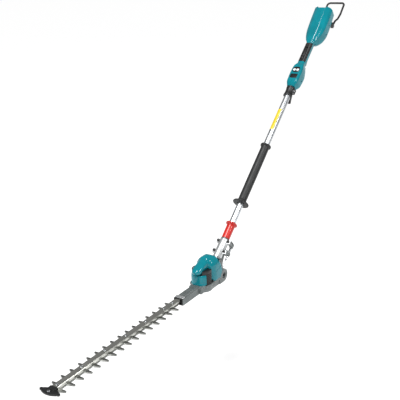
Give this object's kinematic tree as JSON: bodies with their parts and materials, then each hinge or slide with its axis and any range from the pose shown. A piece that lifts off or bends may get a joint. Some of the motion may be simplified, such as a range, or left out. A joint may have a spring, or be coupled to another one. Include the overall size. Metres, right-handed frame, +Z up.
{
  "type": "pole hedge trimmer",
  "caption": "Battery pole hedge trimmer with a tilting double-sided blade head, front grip, rear trigger handle and wire guard.",
  "frame": {"origin": "on the shaft's axis at the middle of the front grip", "axes": "-Y is the way the blades point, +Z is up with the blades level, +X is the side of the pivot bolt's head"},
  "size_m": [0.086, 1.8987, 0.8673],
  "materials": {
    "shaft_aluminium": "anodised, satin",
    "cable_sheath": "matte",
    "grip_rubber": "matte",
    "warning_film": "printed film, no lettering",
    "cast_aluminium": "fine cast",
    "painted_casting": "satin grey paint",
    "black_steel": "black coated",
    "dark_steel": "phosphated",
    "bright_steel": "ground",
    "red_plastic": "gloss",
    "teal_plastic": "gloss",
    "black_plastic": "fine texture",
    "panel_plastic": "smooth",
    "button_plastic": "gloss",
    "circuit_board": "solder mask",
    "bronze": "turned",
    "motor_copper": "varnished windings",
    "motor_iron": "laminated",
    "blade_steel": "ground",
    "bar_aluminium": "brushed"
  },
  "bodies": {
    "shaft": {"pole_tube": "shaft_aluminium", "motor_cable": "cable_sheath", "front_grip": "grip_rubber", "warning_band": "warning_film", "clamp_upper": "cast_aluminium", "clamp_arm": "painted_casting", "clamp_screws": "black_steel", "pivot_bolt": "dark_steel", "pivot_nut": "dark_steel", "release_spring": "bright_steel", "hanger_clamp": "black_plastic", "hanger_screw": "bright_steel", "handle_shell_left": "teal_plastic", "handle_shell_right": "teal_plastic", "shell_screws": "black_steel", "grip_overmould": "grip_rubber", "control_panel": "panel_plastic", "display_panel": "panel_plastic", "trigger_pin": "bright_steel", "lever_pin": "bright_steel", "trigger_switch": "black_plastic", "controller_board": "circuit_board", "terminal_block": "black_plastic", "battery_rails": "bright_steel", "wire_guard": "black_steel", "guard_clamps": "black_plastic"},
    "release": {"red_sleeve": "red_plastic", "release_link": "dark_steel", "lock_rod": "bright_steel"},
    "trigger": {"trigger": "black_plastic"},
    "lock_off": {"lock_off_lever": "black_plastic"},
    "power_button": {"power_button": "button_plastic"},
    "reverse_button": {"reverse_button": "button_plastic"},
    "head": {"gear_case": "painted_casting", "gear_case_cover": "painted_casting", "nose_cap": "cast_aluminium", "nose_seal": "grip_rubber", "lock_ring": "bright_steel", "pivot_bushes": "bronze", "motor_housing": "teal_plastic", "lower_cover": "teal_plastic", "vent_frame": "black_plastic", "housing_screws": "black_steel", "stator": "motor_copper", "motor_bearings": "bright_steel", "crank_bearing": "bright_steel", "guide_bar": "bar_aluminium", "guide_bolts": "bright_steel", "guide_nuts": "dark_steel", "tip_guard": "black_plastic", "tip_screws": "bright_steel"},
    "motor_rotor": {"rotor": "motor_iron", "motor_shaft": "bright_steel", "cooling_fan": "black_plastic"},
    "crank": {"crank_gear": "bright_steel"},
    "upper_blade": {"upper_blade": "blade_steel"},
    "lower_blade": {"lower_blade": "blade_steel"}
  },
  "joints": [
    {"name": "head_tilt", "type": "hinge", "parent": "shaft", "child": "head", "pos_m": [0, -0.28943, -0.28203], "axis": [1, 0, 0], "range_deg": [-15, 120]},
    {"name": "release_slide", "type": "slide", "parent": "shaft", "child": "release", "axis": [0, 0.766, 0.6428], "range_m": [0, 0.008], "stiffness_N_per_m": 1500, "springref_m": -0.004},
    {"name": "trigger_pull", "type": "hinge", "parent": "shaft", "child": "trigger", "pos_m": [0, 0.42582, 0.34817], "axis": [1, 0, 0], "range_deg": [0, 8], "stiffness_Nm_per_rad": 0.6, "springref_deg": -11.46},
    {"name": "lock_off_press", "type": "hinge", "parent": "shaft", "child": "lock_off", "pos_m": [0, 0.46464, 0.39837], "axis": [1, 0, 0], "range_deg": [0, 5], "stiffness_Nm_per_rad": 0.5, "springref_deg": -11.46},
    {"name": "power_button_press", "type": "slide", "parent": "shaft", "child": "power_button", "axis": [0, 0.6428, -0.766], "range_m": [0, 0.0015], "stiffness_N_per_m": 500, "springref_m": -0.001},
    {"name": "reverse_button_press", "type": "slide", "parent": "shaft", "child": "reverse_button", "axis": [0, 0.6428, -0.766], "range_m": [0, 0.0015], "stiffness_N_per_m": 500, "springref_m": -0.001},
    {"name": "motor_spin", "type": "hinge", "parent": "head", "child": "motor_rotor", "pos_m": [0, -0.33843, -0.28203], "axis": [0, 0, 1], "continuous": true},
    {"name": "crank_spin", "type": "hinge", "parent": "head", "child": "crank", "pos_m": [0, -0.37443, -0.28203], "axis": [0, 0, 1], "continuous": true},
    {"name": "upper_blade_slide", "type": "slide", "parent": "head", "child": "upper_blade", "axis": [0, 1, 0], "range_m": [-0.009, 0.009]},
    {"name": "lower_blade_slide", "type": "slide", "parent": "head", "child": "lower_blade", "axis": [0, 1, 0], "range_m": [-0.009, 0.009]}
  ],
  "couplings": [
    {"joint": "crank_spin", "follows": "motor_spin", "ratio": -0.2},
    {"joint": "lower_blade_slide", "follows": "upper_blade_slide", "ratio": -1}
  ]
}
